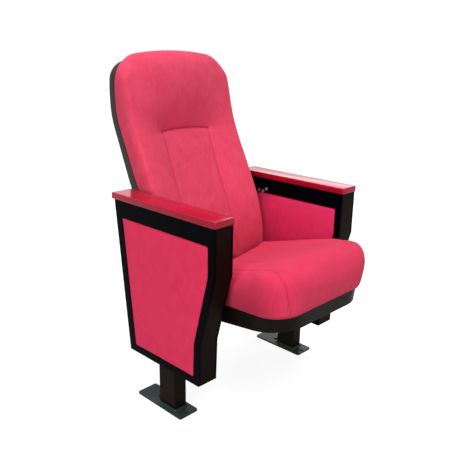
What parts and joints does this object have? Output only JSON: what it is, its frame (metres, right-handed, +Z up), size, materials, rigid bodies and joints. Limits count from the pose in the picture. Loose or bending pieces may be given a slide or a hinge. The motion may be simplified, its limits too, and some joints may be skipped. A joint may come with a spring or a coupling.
{
  "type": "tip-up auditorium seat",
  "caption": "Upholstered auditorium seat with a tip-up cushion, a tall padded back and two padded side panels with red arm caps on floor-bolted posts.",
  "frame": {"origin": "middle of the bounding box in plan, at floor level, under the seat", "axes": "+Z up, the sitter faces -Y, +X is the sitter's left"},
  "size_m": [0.622, 0.715, 1.027],
  "materials": {
    "plate_steel": "gloss",
    "post_steel": "satin",
    "inner_steel": "satin",
    "bare_steel": "satin",
    "panel_black": "satin",
    "side_fabric": "matt",
    "arm_red": "gloss",
    "shell_black": "satin",
    "plywood": "matt",
    "cushion_fabric": "matt",
    "nylon": "matt",
    "buffer_rubber": "matt"
  },
  "bodies": {
    "frame": {"left_floor_plate": "plate_steel", "left_anchor_screw_front": "plate_steel", "left_anchor_screw_rear": "plate_steel", "left_post": "post_steel", "left_foot_weld": "plate_steel", "left_top_rail": "inner_steel", "left_back_stay": "inner_steel", "left_panel_band": "panel_black", "left_outer_cover": "panel_black", "left_inner_cover": "panel_black", "left_outer_pad": "side_fabric", "left_inner_pad": "side_fabric", "left_arm_cap": "arm_red", "left_arm_screw_front": "bare_steel", "left_arm_screw_rear": "bare_steel", "left_hinge_bracket": "inner_steel", "left_hinge_pin": "bare_steel", "left_stop_buffer": "buffer_rubber", "left_return_spring": "bare_steel", "left_back_bracket": "inner_steel", "left_back_bolt_front": "bare_steel", "left_back_bolt_middle": "bare_steel", "left_back_bolt_rear": "bare_steel", "right_floor_plate": "plate_steel", "right_anchor_screw_front": "plate_steel", "right_anchor_screw_rear": "plate_steel", "right_post": "post_steel", "right_foot_weld": "plate_steel", "right_top_rail": "inner_steel", "right_back_stay": "inner_steel", "right_panel_band": "panel_black", "right_outer_cover": "panel_black", "right_inner_cover": "panel_black", "right_outer_pad": "side_fabric", "right_inner_pad": "side_fabric", "right_arm_cap": "arm_red", "right_arm_screw_front": "bare_steel", "right_arm_screw_rear": "bare_steel", "right_hinge_bracket": "inner_steel", "right_hinge_pin": "bare_steel", "right_stop_buffer": "buffer_rubber", "right_return_spring": "bare_steel", "right_back_bracket": "inner_steel", "right_back_bolt_front": "bare_steel", "right_back_bolt_middle": "bare_steel", "right_back_bolt_rear": "bare_steel", "back_shell": "shell_black", "back_board": "plywood", "back_cushion": "cushion_fabric"},
    "seat": {"left_hinge_arm": "inner_steel", "left_hinge_bush": "nylon", "right_hinge_arm": "inner_steel", "right_hinge_bush": "nylon", "seat_pan": "shell_black", "seat_board": "plywood", "seat_cushion": "cushion_fabric"}
  },
  "joints": [
    {"name": "seat_tip", "type": "hinge", "parent": "frame", "child": "seat", "pos_m": [0, -0.03844, 0.322], "axis": [-1, 0, 0], "range_deg": [0, 78]}
  ]
}
